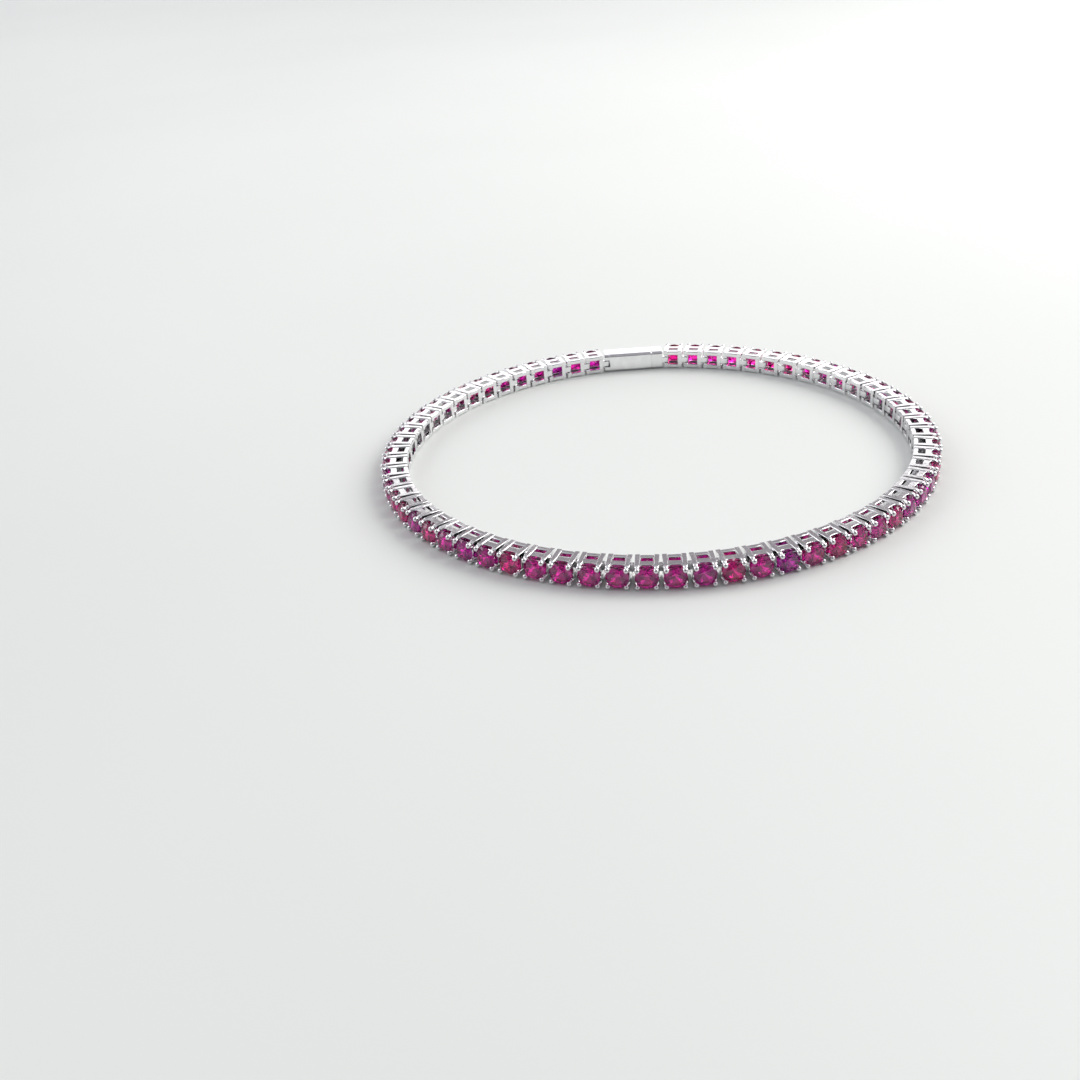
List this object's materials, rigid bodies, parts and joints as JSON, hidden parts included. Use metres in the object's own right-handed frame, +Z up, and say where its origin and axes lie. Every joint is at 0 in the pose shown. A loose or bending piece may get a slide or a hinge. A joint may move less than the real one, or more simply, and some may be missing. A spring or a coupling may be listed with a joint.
{
  "type": "tennis bracelet",
  "caption": "Closed oval tennis bracelet: square four-prong box settings hinged in a row, each with a round cut pink stone, joined by a plain box clasp.",
  "frame": {"origin": "on the surface that the bracelet lies on, under the middle of its bounding box", "axes": "+Z up, along the wearer's arm; +X along the oval's long axis; the clasp towards +Y and the middle of the front towards -Y"},
  "size_m": [0.0686, 0.0642, 0.0026],
  "materials": {
    "white_metal": "polished rhodium-plated silver",
    "clasp_metal": "polished rhodium-plated silver",
    "pink_stone": "polished facets, deep pink"
  },
  "bodies": {
    "root": {"chain_right": "white_metal", "chain_left": "white_metal", "clasp": "clasp_metal"}
  },
  "joints": []
}
